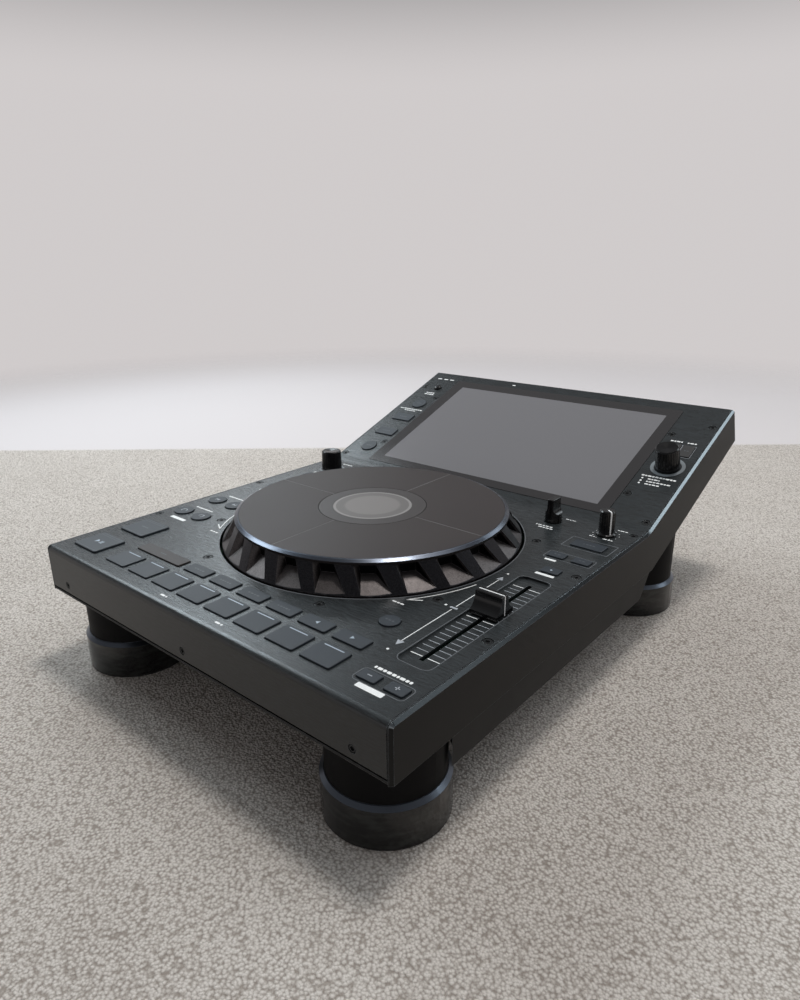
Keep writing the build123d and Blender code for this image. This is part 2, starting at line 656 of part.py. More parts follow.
inlet_x, inlet_depth, inlet_y = 118.0, 16.0, 11.0
inlet_place, inlet = socket(-inlet_x, 30.0, 21.5, 18.5, 24.6, 16.6, inlet_depth, inlet_y)
for pin_x, pin_y in ((-7.0, -2.0), (0.0, 2.0), (7.0, -2.0)):
    pin = block(2.0, 4.0, -chassis_inset - inlet_depth, -chassis_inset - 2.5)
    inlet += Pos(pin_x, inlet_y + pin_y, 0) * pin
socket_parts.append(inlet_place * inlet)

network_place, network = socket(-34.0, 16.0, 14.5, 20.0, 11.8, 10.0, 14.0, 7.4)
socket_parts.append(network_place * network)

usb_place, usb = socket(2.0, 13.0, 12.0, 17.0, 8.6, 7.8, 9.0, 6.2)
usb += Pos(0, 6.2, 0) * block(5.6, 3.0, -chassis_inset - 9.0, -chassis_inset - 1.0)
socket_parts.append(usb_place * usb)

jack_radius, jack_hole, jack_reach, jack_y = 4.2, 1.7, 6.0, 10.0
for jack_x in (46.0, 84.0, 102.0):
    jack_place = wall * Pos(jack_x, board_top + jack_y, 0)
    jack = Pos(0, -1.5, wall_inner - 6.0) * Box(12.0, 17.0, 12.0)
    jack += rod(jack_radius, wall_inner, jack_reach) + rod(jack_radius + 1.2, wall_inner, 0)
    jack -= rod(jack_hole, -6.0, jack_reach)
    socket_parts.append(jack_place * jack)
    wall_cuts.append(jack_place * rod(jack_radius + 1.2 + nose_clearance, 2 * wall_inner, sheet))
keep("rear_sockets", *socket_parts)

power_x, power_y = -86.0, board_top + 10.0
power_place = wall * Pos(power_x, power_y, 0)
power_outline = oblong(12.0, 12.0, 2.0)
power_cap = slab(power_outline, wall_inner - 0.3, 2.2)
power_cap = fillet(power_cap.faces().sort_by(Axis.Z)[-1].edges(), 0.6)
power_cap += slab(offset(power_outline, flange_lip), wall_inner - 1.8, wall_inner - 0.3)
power_cap += rod(2.0, wall_inner - 8.5, wall_inner - 1.8)
keep("power_button", power_place * power_cap)
wall_cuts.append(power_place * slab(offset(power_outline, button_gap), 2 * wall_inner, sheet))
power_switch = Pos(0, -1.0, 0) * block(15.0, 18.0, wall_inner - 20.0, wall_inner - 6.5)
power_switch -= rod(2.3, wall_inner - 13.0, wall_inner - 6.0)
chassis -= wall_cuts
keep("chassis", chassis)


# ------------------------------------------------------------------ circuit boards and display panels
def spacer(low, high):
    """Hollow spacer that a screw goes into."""
    return rod(pillar_radius, low, high) - rod(thread_radius, low, high)


deck_board_width = 2 * (half - 11.0)
deck_board_front, deck_board_rear = 10.0, flat_length - 3.5
deck_board_middle = (deck_board_front + deck_board_rear) / 2
deck_board_length = deck_board_rear - deck_board_front
deck_board = deck * Pos(0, deck_board_middle, 0) * block(
    deck_board_width, deck_board_length, -deck_board_drop - board_thickness, -deck_board_drop)
deck_board -= platter_place * rod(post_foot_radius + 2, -2 * deck_board_drop, 0)
spacers = [deck * Pos(x, y, 0) * spacer(-deck_board_drop, -sheet) for x, y in both_sides(board_pillars)]

column_board_x = (glass_width / 2 + 9.5 + half - 11.0) / 2
column_board_width = half - 11.0 - (glass_width / 2 + 9.5)
column_low = -column_board_drop - board_thickness
column_boards = [slope * Pos(side * column_board_x, glass_middle, 0) * block(
    column_board_width, glass_length - 20, column_low, -column_board_drop) for side in (-1, 1)]
column_spacers = [slope * Pos(side * (half - 17.0), s, 0) * rod(2.2, -column_board_drop, -sheet)
                  for side in (-1, 1) for s in (43.0, 130.0)]

bracket_x, bracket_low = glass_width / 2 + 4.3, module_low - bracket_thickness
bracket = slope * Pos(0, 84.0, 0) * block(2 * bracket_x + 8.4, 104.0, bracket_low, module_low)
bracket_spacers = [slope * Pos(x, s, 0) * spacer(module_low, -sheet) for x, s in both_sides(bracket_pillars)]
keep("display_panels", display_module, hub_display, bracket, *bracket_spacers)


def carried_board(frame, x, y, size_x, size_y, top, floor, chips, leg_radius=2.5):
    """Board on four legs from the floor below, with blocks on it: (x, y, size x, size y, height)."""
    board = block(size_x, size_y, top - board_thickness, top)
    for side_x in (-1, 1):
        for side_y in (-1, 1):
            leg_place = Pos(side_x * (size_x / 2 - 5), side_y * (size_y / 2 - 5), 0)
            board += leg_place * rod(leg_radius, floor, top - board_thickness)
    pieces = [board] + [Pos(cx, cy, 0) * block(sx, sy, top, top + height) for cx, cy, sx, sy, height in chips]
    return [frame * Pos(x, y, 0) * piece for piece in pieces]


main_board_top = floor_top + 6.5
tallest = -deck_board_drop - board_thickness - main_board_top - board_room
main_board = carried_board(deck, 0, 251.0, 250.0, 62.0, main_board_top, floor_top, [
    (-60, 0, 34, 34, tallest - 1.0), (-8, 8, 16, 16, 2.0), (18, 8, 16, 16, 2.0),
    (70, -6, 26, 30, tallest - 2.0), (105, 8, 14, 20, tallest)])
tray_floor = -tray_depth + sheet
supply_board = carried_board(deck, -60, 170.0, 130.0, 150.0, tray_floor + 6.0, tray_floor, [
    (-32, 30, 42, 36, 16.0), (26, 42, 24, 48, 12.0), (-35, -36, 26, 26, 14.0), (22, -30, 38, 20, 10.0)])
rear_board = Pos(0, -rear_board_drop - board_thickness / 2, wall_inner - 1.0 - rear_board_reach / 2)
rear_board *= Box(2 * (half - 20.0), board_thickness, rear_board_reach)
rear_board = wall * rear_board
rear_leg = Rot(90, 0, 0) * rod(rear_leg_radius, rear_board_drop + board_thickness, rear_drop + 6)
inner_line = [*under_points(chassis_inset + sheet), Vector(sheet, 0), Vector(sheet, floor_top)]
inside = side_view(inner_line, deck_half)
rear_leg_places = [wall * Pos(x, 0, wall_inner - rear_leg_setback) for x in (-125.0, 0.0, 125.0)]
rear_legs = [deck * ((unplaced * place * rear_leg) & inside) for place in rear_leg_places]
keep("circuit_boards", deck_board, *spacers, *deck_parts, *column_boards, *column_spacers, *column_parts,
     *main_board, *supply_board, rear_board, *rear_legs, power_place * power_switch)
keep("screws", *[place * screw(head_radius) for place, head_radius in screw_places])
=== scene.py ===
"""Looks of the tabletop media player: finishes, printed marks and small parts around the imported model."""
import json
from math import cos, pi, radians, sin

import bmesh
import bpy
from mathutils import Matrix, Vector

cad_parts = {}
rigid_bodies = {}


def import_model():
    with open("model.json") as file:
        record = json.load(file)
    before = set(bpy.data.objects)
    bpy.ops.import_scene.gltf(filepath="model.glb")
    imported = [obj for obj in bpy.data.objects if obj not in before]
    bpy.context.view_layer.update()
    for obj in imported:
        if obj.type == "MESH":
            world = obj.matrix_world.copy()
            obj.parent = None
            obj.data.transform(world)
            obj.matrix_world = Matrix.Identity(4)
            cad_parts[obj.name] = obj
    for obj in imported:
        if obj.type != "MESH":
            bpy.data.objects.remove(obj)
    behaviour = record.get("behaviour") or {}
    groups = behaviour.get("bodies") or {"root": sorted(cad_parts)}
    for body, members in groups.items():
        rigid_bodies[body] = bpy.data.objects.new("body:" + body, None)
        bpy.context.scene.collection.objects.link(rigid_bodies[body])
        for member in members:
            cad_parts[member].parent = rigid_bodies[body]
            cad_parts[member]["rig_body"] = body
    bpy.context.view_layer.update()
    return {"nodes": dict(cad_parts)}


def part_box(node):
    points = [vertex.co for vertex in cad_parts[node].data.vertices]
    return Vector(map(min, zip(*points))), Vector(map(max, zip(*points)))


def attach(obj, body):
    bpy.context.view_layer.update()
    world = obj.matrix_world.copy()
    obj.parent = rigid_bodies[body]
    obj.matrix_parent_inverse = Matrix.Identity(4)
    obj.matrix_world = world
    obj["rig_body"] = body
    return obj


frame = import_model()
nodes = frame["nodes"]
mm = 0.001

# ------------------------------------------------------------------ places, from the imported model
flat_length = 285.5 * mm     # front face to the fold
slope_angle = radians(20)
plain_proud = 1.0 * mm       # a plain button above the deck
front_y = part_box("side_panel_left")[0].y
deck_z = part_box("pad_1")[1].z - plain_proud
deck = Matrix.Translation((0, front_y, deck_z))
slope = deck @ Matrix.Translation((0, flat_length, 0)) @ Matrix.Rotation(slope_angle, 4, "X")
disc_low, disc_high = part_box("platter_disc")
platter_middle = (disc_low + disc_high) / 2
platter_row = (platter_middle.y - front_y) / mm


def cap_box(node, place):
    """Lowest and highest corner of what a control shows above its surface, in millimetres on it."""
    back = place.inverted()
    points = [back @ vertex.co / mm for vertex in nodes[node].data.vertices]
    shown = [point for point in points if point.z > 0]
    low = Vector(min(point[axis] for point in shown) for axis in range(3))
    high = Vector(max(point[axis] for point in shown) for axis in range(3))
    return low, high


def cap_top(node, place):
    """Middle of a control's top face, in millimetres on the surface that it stands on."""
    low, high = cap_box(node, place)
    return Vector(((low.x + high.x) / 2, (low.y + high.y) / 2, high.z))


def body_of(node):
    return nodes[node]["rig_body"]


# ------------------------------------------------------------------ shader values and finishes
class Value:
    """A shader socket. Arithmetic on it adds Math nodes to its finish."""

    def __init__(self, finish, socket):
        self.finish, self.socket = finish, socket

    def __add__(self, other):
        return self.finish.math("ADD", self, other)

    def __radd__(self, other):
        return self.finish.math("ADD", other, self)

    def __sub__(self, other):
        return self.finish.math("SUBTRACT", self, other)

    def __rsub__(self, other):
        return self.finish.math("SUBTRACT", other, self)

    def __mul__(self, other):
        return self.finish.math("MULTIPLY", self, other)

    def __rmul__(self, other):
        return self.finish.math("MULTIPLY", other, self)

    def __pow__(self, other):
        return self.finish.math("POWER", self, other)

    def __lt__(self, other):
        return self.finish.math("LESS_THAN", self, other)

    def __abs__(self):
        return self.finish.math("ABSOLUTE", self)


class Shading:
    """The nodes of a material or of the world while they are joined."""

    def __init__(self, owner, place):
        owner.use_nodes = True
        self.tree = owner.node_tree
        self.tree.nodes.clear()
        self.place = self.add("TexCoord", out=place)
        self.x, self.y, self.z = self.parts(self.place)

    def add(self, kind, sockets=None, settings=None, out=0):
        """Add a node of a type: settings first, then the value or link of each socket.

        Gives one of its outputs, by number or name, or all of them when out is None.
        """
        node = self.tree.nodes.new("ShaderNode" + kind)
        for name, setting in (settings or {}).items():
            setattr(node, name, setting)
        for key, value in (sockets or {}).items():
            if isinstance(value, Value):
                self.tree.links.new(value.socket, node.inputs[key])
            else:
                node.inputs[key].default_value = value
        if out is None:
            return [Value(self, socket) for socket in node.outputs]
        return Value(self, node.outputs[out]) if node.outputs else None

    def parts(self, vector):
        """The x, y and z of a vector."""
        return self.add("SeparateXYZ", {0: vector}, out=None)

    def math(self, operation, *values):
        return self.add("Math", dict(enumerate(values)), {"operation": operation})

    def ramp(self, value, low, high):
        """0 up to low, 1 from high on, smooth between."""
        sockets = {"Value": value, "From Min": low, "From Max": high}
        return self.add("MapRange", sockets, {"interpolation_type": "SMOOTHSTEP"}, out="Result")

    def within(self, value, low, high, soft=0.05 * mm):
        """1 between two limits, 0 outside them."""
        return self.ramp(value, low - soft, low + soft) * (1 - self.ramp(value, high - soft, high + soft))

    def mix(self, colour, other, factor):
        """One colour, and the other where the factor is 1.

        A Mix node has its colours at inputs 6 and 7, and the mixed one at output 2.
        """
        rgba = [c if isinstance(c, Value) else (*c, 1.0) for c in (colour, other)]
        return self.add("Mix", {0: factor, 6: rgba[0], 7: rgba[1]}, {"data_type": "RGBA"}, out=2)


class Finish(Shading):
    """A material, with the patterns that several finishes share."""

    def __init__(self, name):
        self.material = bpy.data.materials.new(name)
        super().__init__(self.material, "Object")

    def noise(self, stretch, detail, roughness=0.5):
        """Noise with so many features a metre along x, y and z."""
        stretch = stretch if isinstance(stretch, tuple) else (stretch,) * 3
        vector = self.add("VectorMath", {0: self.place, 1: stretch}, {"operation": "MULTIPLY"})
        sockets = {"Vector": vector, "Scale": 1.0, "Detail": detail, "Roughness": roughness}
        return self.add("TexNoise", sockets)

    def radius_from(self, x, y):
        """Distance from an upright axis."""
        across, along = self.x - x, self.y - y
        return (across * across + along * along) ** 0.5

    def normal(self):
        """The way that the surface faces."""
        return self.add("NewGeometry", out="Normal")

    def rounded(self, radius):
        """Normal as if every sharp edge had a small round."""
        return self.add("Bevel", {"Radius": radius}, {"samples": 4})

    def wear(self, rounded, slight=0.0):
        """1 on edges, where handling rubs a finish thin, and 0 on faces. Slight is the least on an edge."""
        vectors = {0: rounded, 1: self.normal()}
        turn = self.add("VectorMath", vectors, {"operation": "DOT_PRODUCT"}, out="Value")
        patches = self.ramp(self.noise(260, 3), 0.35, 0.65)
        return self.ramp(1 - turn, 0.004, 0.05) * (slight + (1 - slight) * patches)

    def surface(self, colour, roughness, height, depth, rounded=None, **others):
        """Join everything to the shader, and give the material.

        Height is a pattern and depth its size in metres. Others are more sockets, with _ for a space.
        """
        bump = {"Height": height, "Distance": depth}
        if rounded is not None:
            bump["Normal"] = rounded
        sockets = {"Base Color": colour, "Roughness": roughness, "Normal": self.add("Bump", bump)}
        sockets.update({name.replace("_", " "): value for name, value in others.items()})
        shader = self.add("BsdfPrincipled", sockets)
        self.add("OutputMaterial", {"Surface": shader})
        return self.material


def brushed_sheet():
    """Black anodised sheet with long brush lines across the width, and painted shade that darkens the front
    face.
    """
    f = Finish("brushed_black_sheet")
    lines = f.noise((90, 1500, 1500), 3, 0.65)
    hairs = f.noise((200, 3600, 3600), 3, 0.65)
    clouds = f.noise(14, 2)
    rounded = f.rounded(0.35 * mm)
    brush = lines * 0.45 + hairs * 0.55
    rearward = f.parts(f.normal())[1]
    # tone: brush streaks times a painted shade factor that darkens the colour of the front-facing sheet
    tone = f.ramp(brush, 0.39, 0.61) * (0.25 + f.ramp(rearward, -0.95, -0.6) * 0.75)
    colour = f.mix((0.0025, 0.003, 0.0035), (0.066, 0.076, 0.081), tone)
    colour = f.mix(colour, (0.24, 0.26, 0.27), f.wear(rounded) * 0.4)
    roughness = 0.31 - tone * 0.11 + clouds * 0.06
    return f.surface(colour, roughness, brush, 0.055 * mm, rounded, Metallic=tone * 0.5)


def panel_paint():
    """Smooth black side panels. Their cut chamfer is glossy metal, with a painted highlight that makes it
    brighter up the slope.
    """
    f = Finish("black_side_panel")
    sideways, rearward, upward = f.parts(f.normal())
    chamfer = f.within(abs(sideways), 0.45, 0.92, 0.05) * f.ramp(upward, 0.2, 0.4)
    grain = f.noise(1500, 2)
    smears = f.noise((30, 12, 40), 3)
    rounded = f.rounded(0.4 * mm)
    colour = f.mix((0.0030, 0.0029, 0.0028), (0.0058, 0.0056, 0.0055), smears)
    # painted highlight: the chamfer is light metal where it faces up the slope and dark metal on the flat
    # part
    chamfer_colour_with_highlight = f.mix((0.19, 0.215, 0.23), (0.034, 0.037, 0.039), f.ramp(rearward, -0.2, -0.1))
    colour = f.mix(colour, chamfer_colour_with_highlight, chamfer)
    # lighter edges: wear, plus a painted highlight, since only the upward-facing edges get it
    colour = f.mix(colour, (0.34, 0.39, 0.43), f.wear(rounded, 0.5) * f.ramp(upward, -0.2, 0.3) * 0.85)
    roughness = 0.40 + grain * 0.08 + smears * 0.06 - chamfer * 0.24
    return f.surface(colour, roughness, grain * (1 - chamfer), 0.004 * mm, rounded, Metallic=chamfer,
                     Specular_IOR_Level=0.22)


def powder_coat():
    """Fine-textured black powder coat on the folded steel of the underside, rear wall and tray."""
    f = Finish("black_powder_coat")
    grit = f.noise(1900, 3, 0.6)
    patches = f.noise(35, 2)
    rounded = f.rounded(0.5 * mm)
    colour = f.mix((0.006, 0.006, 0.006), (0.013, 0.013, 0.013), grit)
    colour = f.mix(colour, (0.16, 0.17, 0.18), f.wear(rounded, 0.4) * 0.6)
    return f.surface(colour, 0.50 + patches * 0.12, grit, 0.04 * mm, rounded, Specular_IOR_Level=0.3)


def foot_plastic():
    """Moulded black feet: fine-grained column, scuffed glossy ring with a cut chamfer, rubber sole."""
    f = Finish("black_foot")
    ring_top, chamfer_top, sole_top = 24.15 * mm, 26.6 * mm, 1.2 * mm
    grain = f.noise(1300, 3)
    scuffs = f.noise((90, 90, 260), 4)
    rounded = f.rounded(0.4 * mm)
    chamfer = f.within(f.z, ring_top, chamfer_top)
    sole = 1 - f.ramp(f.z, sole_top - 0.1 * mm, sole_top)
    ring = 1 - f.ramp(f.z, ring_top - 0.1 * mm, ring_top)
    colour = f.mix((0.0022, 0.0022, 0.0025), (0.0050, 0.0050, 0.0054), grain)
    colour = f.mix(colour, (0.016, 0.018, 0.0165), ring * f.ramp(scuffs, 0.42, 0.66))
    colour = f.mix(colour, (0.11, 0.125, 0.15), chamfer)
    colour = f.mix(colour, (0.016, 0.016, 0.016), sole)
    roughness = 0.46 + grain * 0.1 - ring * 0.18 - chamfer * 0.24 + sole * 0.4 + scuffs * 0.08
    return f.surface(colour, roughness, grain * (1 - chamfer), 0.015 * mm, rounded,
                     Metallic=chamfer, Coat_Weight=ring * 0.9, Coat_Roughness=0.10, Specular_IOR_Level=0.10)


def platter_metal():
    """Platter ring: near-black ribs, brown-grey notch floors with painted shade on the steep walls behind
    them, plain band, blue-grey polished rim.
    """
    f = Finish("platter_metal")
    band_low, band_high = 16.25 * mm, 17.95 * mm
    cone_foot, cone_top, cone_low, cone_rise = 108.0 * mm, 98.2 * mm, 0.3 * mm, 16.0 * mm
    rim_inside, soft = 95.2 * mm, 0.05 * mm
    height = f.z - deck_z
    radius = f.radius_from(0, platter_middle.y)
    inward = cone_foot - (cone_foot - cone_top) / cone_rise * (height - cone_low) - radius
    upwards = f.parts(f.normal())[2]
    notch = f.ramp(inward, 0.08 * mm, 0.30 * mm)
    # painted shade: the steep back walls of the notches, under the rim, are coloured near black
    painted_pocket_shade = f.ramp(inward, 1.6 * mm, 2.2 * mm) * (1 - f.ramp(upwards, 0.15, 0.3))
    band = f.within(height, band_low, band_high)
    above_band = f.ramp(height, band_high - soft, band_high + soft)
    rim = above_band * f.ramp(radius, rim_inside, rim_inside + 4 * soft)
    strokes = f.noise((2300, 2300, 70), 3, 0.6)
    sweep = f.noise((300, 300, 20), 2)
    grain = f.noise(3000, 2)
    rounded = f.rounded(0.3 * mm)
    texture = strokes * 0.6 + grain * 0.4
    tone = f.ramp(texture, 0.36, 0.66)
    colour = f.mix((0.016, 0.016, 0.018), (0.052, 0.051, 0.056), tone)
    floor_colour = f.mix((0.040, 0.036, 0.037), (0.165, 0.150, 0.147), tone * 0.6 + sweep * 0.4)
    colour = f.mix(colour, floor_colour, notch)
    colour = f.mix(colour, (0.006, 0.006, 0.006), painted_pocket_shade)
    colour = f.mix(colour, (0.040, 0.036, 0.036), band)
    colour = f.mix(colour, (0.092, 0.105, 0.13), rim)
    colour = f.mix(colour, (0.30, 0.29, 0.30), f.wear(rounded) * (1 - rim) * 0.45)
    roughness = 0.28 + texture * 0.10 + notch * 0.08 - rim * 0.10 + band * 0.10
    return f.surface(colour, roughness, texture * (1 - rim), 0.012 * mm, rounded, Metallic=1.0)


def disc_sheet():
    """Matt dark grey disc with a fine grain and four thin radial lines."""
    f = Finish("disc_sheet")
    line_half = 0.4 * mm
    across, along = abs(f.x), abs(f.y - platter_middle.y)
    grain = f.noise(2600, 2)
    clouds = f.noise(22, 3)
    dust = f.ramp(f.noise(1500, 1), 0.76, 0.82) * f.ramp(f.noise(60, 2), 0.45, 0.7)
    line = f.math("MAXIMUM", across < line_half, along < line_half)
    colour = f.mix((0.034, 0.0282, 0.0280), (0.046, 0.0385, 0.0380), clouds)
    colour = f.mix(colour, (0.26, 0.26, 0.26), line * (0.3 + 0.7 * clouds))
    colour = f.mix(colour, (0.22, 0.21, 0.20), dust * 0.4)
    return f.surface(colour, 0.42 + grain * 0.06 + clouds * 0.06, grain, 0.004 * mm, f.rounded(0.15 * mm),
                     Specular_IOR_Level=0.24)


def post_plastic():
    """Fixed hub in the middle of the platter, round its small window, in the disc's own grey."""
    f = Finish("hub_plastic")
    grain = f.noise(2200, 2)
    clouds = f.noise(40, 2)
    rounded = f.rounded(0.2 * mm)
    colour = f.mix((0.034, 0.0290, 0.0288), (0.043, 0.0370, 0.0365), clouds)
    colour = f.mix(colour, (0.12, 0.12, 0.12), f.wear(rounded) * 0.4)
    return f.surface(colour, 0.42 + grain * 0.1, grain, 0.004 * mm, rounded)


def window_glass():
    """Glass over the two displays, both switched off and mid grey, with black print round the big one."""
    f = Finish("window_glass")
    picture_left, picture_right = -108.9 * mm, 110.5 * mm
    picture_low, picture_high = 18.7 * mm, 155.3 * mm
    up_slope = (f.y - front_y - flat_length) * cos(slope_angle) + (f.z - deck_z) * sin(slope_angle)
    picture = f.within(f.x, picture_left, picture_right) * f.within(up_slope, picture_low, picture_high)
    radius = f.radius_from(0, platter_middle.y)
    hub = (1 - f.ramp(radius, 28.6 * mm, 28.7 * mm)) * (1 - f.ramp(up_slope, 2 * mm, 3 * mm))
    hub_edge = hub * f.ramp(radius, 26.2 * mm, 26.8 * mm)
    hub_middle = 1 - f.ramp(radius, 18.5 * mm, 21.5 * mm)
    smears = f.noise((24, 30, 30), 4, 0.6)
    dust = f.ramp(f.noise(1300, 1), 0.77, 0.82) * f.ramp(f.noise(50, 2), 0.5, 0.7)
    colour = f.mix((0.036, 0.034, 0.035), (0.182, 0.180, 0.190), picture)
    colour = f.mix(colour, f.mix((0.128, 0.120, 0.117), (0.180, 0.169, 0.164), hub_middle), hub)
    colour = f.mix(colour, (0.235, 0.225, 0.22), hub_edge)
    colour = f.mix(colour, (0.25, 0.24, 0.23), dust * 0.35)
    return f.surface(colour, 0.12 + smears * 0.10 + dust * 0.3 + hub * 0.34, smears, 0.002 * mm,
                     f.rounded(0.2 * mm), IOR=1.5, Coat_Weight=0.25 * (1 - hub), Coat_Roughness=0.05)


def button_rubber(name, dark, light):
    """Matt moulded button with a soft sheen and a fine even grain."""
    f = Finish(name)
    grain = f.noise(1700, 2)
    touched = f.noise(90, 3)
    rounded = f.rounded(0.25 * mm)
    colour = f.mix(dark, light, touched)
    colour = f.mix(colour, [min(1, 2.2 * c) for c in light], f.wear(rounded) * 0.35)
    return f.surface(colour, 0.46 + grain * 0.10 + touched * 0.06, grain, 0.010 * mm, rounded)


def knob_plastic(name="knob_gloss", gloss=0.16):
    """Black moulded knobs, polished by fingers."""
    f = Finish(name)
    grain = f.noise(1200, 2)
    touched = f.noise(120, 3)
    rounded = f.rounded(0.2 * mm)
    colour = f.mix((0.0035, 0.0035, 0.004), (0.0075, 0.0075, 0.008), touched)
    colour = f.mix(colour, (0.06, 0.06, 0.063), f.wear(rounded) * 0.5)
    return f.surface(colour, gloss + touched * 0.12, grain, 0.004 * mm, rounded,
                     Specular_IOR_Level=0.3, Coat_Weight=0.15, Coat_Roughness=0.06)


def turned_steel():
    """Bare turned steel of the knob shafts."""
    f = Finish("turned_steel")
    rings = f.noise((60, 60, 4200), 2)
    colour = f.mix((0.36, 0.36, 0.36), (0.52, 0.52, 0.51), rings)
    return f.surface(colour, 0.25 + rings * 0.15, rings, 0.01 * mm, Metallic=1.0)


def screw_steel():
    """Blackened steel screws, bright where the driver rubs their sockets."""
    f = Finish("black_screw")
    pits = f.noise(2600, 3)
    rounded = f.rounded(0.15 * mm)
    colour = f.mix((0.020, 0.021, 0.022), (0.042, 0.044, 0.046), pits)
    colour = f.mix(colour, (0.30, 0.31, 0.31), f.wear(rounded) * 0.8)
    return f.surface(colour, 0.32 + pits * 0.15, pits, 0.01 * mm, rounded, Metallic=0.85)


def socket_plastic():
    """Rear sockets: black moulded inlet, plated shells and jack barrels."""
    f = Finish("rear_socket")
    inlet_side, wall_inside = 90 * mm, front_y + 461 * mm
    metal = 1 - f.ramp(f.x, inlet_side, inlet_side + mm)
    outside = f.ramp(f.y, wall_inside, wall_inside + mm)
    moulding = f.noise(1400, 3)
    plating = f.noise((300, 300, 900), 3)
    colour = f.mix((0.010, 0.010, 0.010), (0.020, 0.020, 0.020), moulding)
    colour = f.mix(colour, f.mix((0.34, 0.34, 0.33), (0.50, 0.49, 0.47), plating), metal * outside)
    roughness = 0.48 + moulding * 0.1 - metal * 0.2
    return f.surface(colour, roughness, moulding, 0.01 * mm, f.rounded(0.2 * mm), Metallic=metal * outside)


def board_finish():
    """Circuit boards and what stands on them: dark green solder mask over tracks, dark housings."""
    f = Finish("circuit_board")
    tracks = f.add("TexVoronoi", {"Vector": f.place, "Scale": 260.0}, {"distance": "MANHATTAN"})
    mask = f.ramp(tracks, 0.30, 0.36)
    grain = f.noise(900, 2)
    colour = f.mix((0.012, 0.030, 0.020), (0.020, 0.048, 0.032), mask)
    colour = f.mix(colour, (0.03, 0.03, 0.03), f.ramp(grain, 0.55, 0.6))
    return f.surface(colour, 0.35 + grain * 0.2, mask, 0.02 * mm)


def display_back():
    """Pressed metal back of the display module and its bracket."""
    f = Finish("display_back")
    grain = f.noise((500, 60, 500), 3)
    colour = f.mix((0.10, 0.10, 0.105), (0.17, 0.17, 0.175), grain)
    return f.surface(colour, 0.35 + grain * 0.2, grain, 0.01 * mm, Metallic=0.8)


def ink(name, colour):
    """Screen-printed ink, a little uneven."""
    f = Finish(name)
    edge = f.noise(2200, 3)
    clouds = f.noise(200, 2)
    shade = f.mix([0.86 * c for c in colour], colour, f.ramp(edge, 0.25, 0.55))
    return f.surface(shade, 0.42 + clouds * 0.12, edge, 0.01 * mm)


def light_guide(name, colour):
    """Frosted plastic of the light rings and light lines, switched off."""
    f = Finish(name)
    frost = f.noise(1600, 2)
    clouds = f.noise(120, 3)
    shade = f.mix([0.8 * c for c in colour], colour, clouds)
    return f.surface(shade, 0.30 + frost * 0.12, frost, 0.008 * mm, f.rounded(0.1 * mm))


button_grey = button_rubber("button_slate", (0.014, 0.020, 0.028), (0.020, 0.028, 0.038))
finishes = {
    "deck_sheet": brushed_sheet(), "panel": panel_paint(), "chassis": powder_coat(), "foot": foot_plastic(),
    "skirt": platter_metal(), "disc": disc_sheet(), "post": post_plastic(), "glass": window_glass(),
    "button": button_grey, "knob": knob_plastic(), "shaft": turned_steel(), "socket": socket_plastic(),
    "board": board_finish(), "screw": screw_steel(),
}
own_finishes = {
    "shift_button": button_rubber("button_brown", (0.016, 0.011, 0.010), (0.026, 0.018, 0.016)),
    "back_button": button_rubber("button_dark", (0.014, 0.014, 0.015), (0.020, 0.020, 0.021)),
    "power_button": button_rubber("button_black", (0.012, 0.012, 0.012), (0.020, 0.020, 0.020)),
    "column_dome_button": knob_plastic("dome_gloss", 0.10),
    "display_panels": display_back(),
}
own_finishes["forward_button"] = own_finishes["back_button"]
for name, node in nodes.items():
    slot_name = node.material_slots[0].material.name
    node.material_slots[0].material = own_finishes.get(name, finishes[slot_name])

white_ink = ink("white_ink", (0.90, 0.92, 0.92))
grey_ink = ink("grey_ink", (0.42, 0.45, 0.49))
faint_ink = ink("faint_ink", (0.085, 0.095, 0.108))
blue_guide = light_guide("blue_grey_guide", (0.45, 0.53, 0.62))
ring_guide = light_guide("grey_guide", (0.22, 0.25, 0.27))
# printed outlines; the same light grey also paints highlights along two edges on the deck
outline_ink_and_edge_highlight = ink("outline_ink_and_edge_highlight", (0.14, 0.15, 0.165))

# ------------------------------------------------------------------ outlines, in millimetres
def arc(x, y, radius, start, end, steps=24):
    """Points along an arc, angles in degrees."""
    angles = [radians(start + (end - start) * i / steps) for i in range(steps + 1)]
    return [(x + radius * cos(angle), y + radius * sin(angle)) for angle in angles]


def circle(x, y, radius, steps):
    """Outline of a disc."""
    return arc(x, y, radius, 0, 360, steps)[:-1]


def rounded_box(x, y, size_x, size_y, corner):
    """Rectangle round a middle, with round corners."""
    reach_x, reach_y = size_x / 2 - corner, size_y / 2 - corner
    turns = [(1, 1, 0), (-1, 1, 90), (-1, -1, 180), (1, -1, 270)]
    points = [arc(x + sx * reach_x, y + sy * reach_y, corner, turn, turn + 90, 5) for sx, sy, turn in turns]
    return [point for corner_points in points for point in corner_points]


def mitred(points):
    """The points of an open line, each with the way to its left, mitred at the bends."""
    line = [Vector(point) for point in points]
    ways = [(b - a).normalized() for a, b in zip(line, line[1:])]
    lefts = [Vector((-way.y, way.x)) for way in ways]
    bends = [(a + b) / (1 + a.dot(b)) for a, b in zip(lefts, lefts[1:])]
    return list(zip(line, [lefts[0], *bends, lefts[-1]]))


def stroke(points, width):
    """Outline of an open line with a width."""
    line = mitred(points)
    near = [point + side * width / 2 for point, side in line]
    far = [point - side * width / 2 for point, side in line]
    return near + far[::-1]


